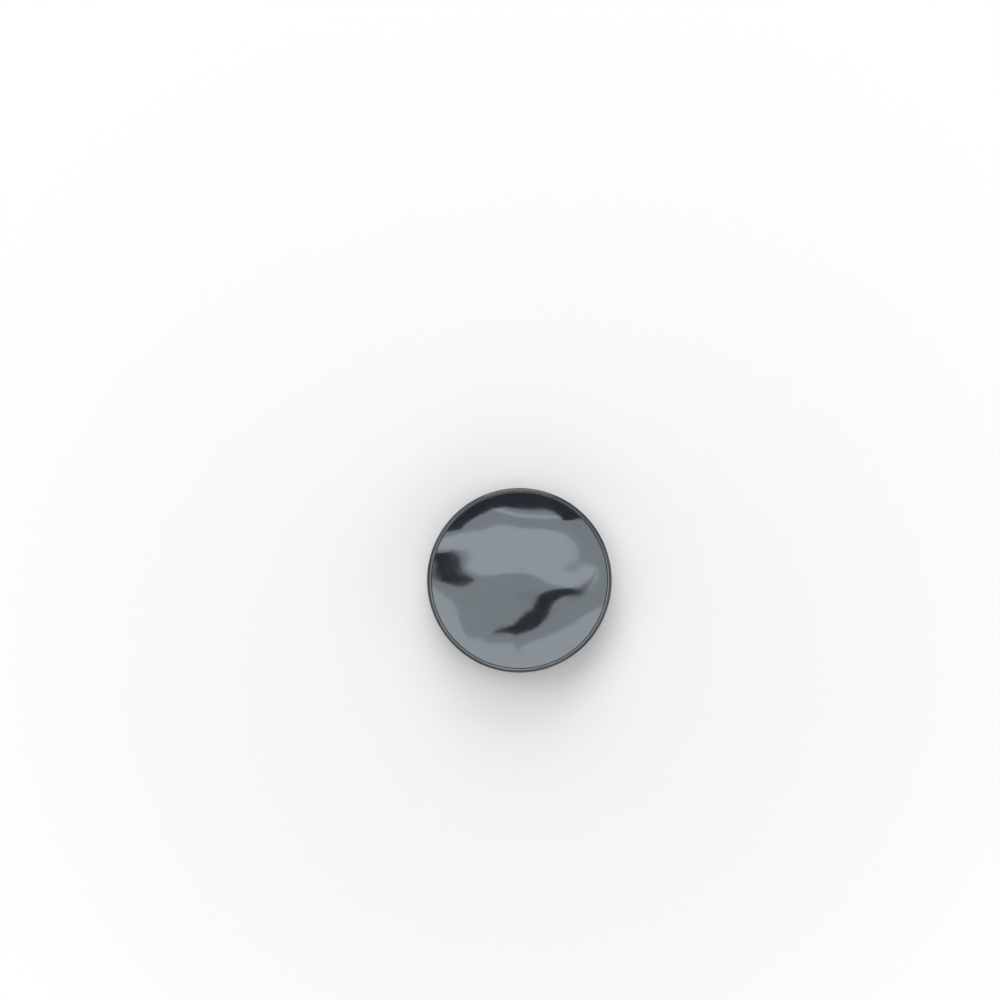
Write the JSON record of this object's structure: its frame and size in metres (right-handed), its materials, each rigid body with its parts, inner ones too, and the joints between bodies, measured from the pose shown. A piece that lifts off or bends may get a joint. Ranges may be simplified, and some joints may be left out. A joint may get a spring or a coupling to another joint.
{
  "type": "phone grip",
  "caption": "Collapsible phone grip: a glossy round top on a folding rubber bellows over a flat adhesive base, with its release liner still on.",
  "frame": {"origin": "centre of the release liner's underside, where the grip meets the phone", "axes": "+Z from the phone towards the thumb, along the axis on which the grip opens; the liner's pull tab points to -Y"},
  "size_m": [0.04, 0.04, 0.0088],
  "materials": {
    "face": "glossy",
    "film": "matte",
    "top": "glossy",
    "bellows": "matte",
    "base": "satin",
    "foam": "matte",
    "liner": "satin"
  },
  "bodies": {
    "base": {"base_plate": "base", "adhesive_pad": "foam", "release_liner": "liner", "bellows": "bellows"},
    "top": {"top_plate": "top", "face_tape": "film", "face_disc": "face"}
  },
  "joints": [
    {"name": "expand", "type": "slide", "parent": "base", "child": "top", "axis": [0, 0, 1], "range_m": [0, 0.0148], "deforming": ["bellows"]}
  ]
}
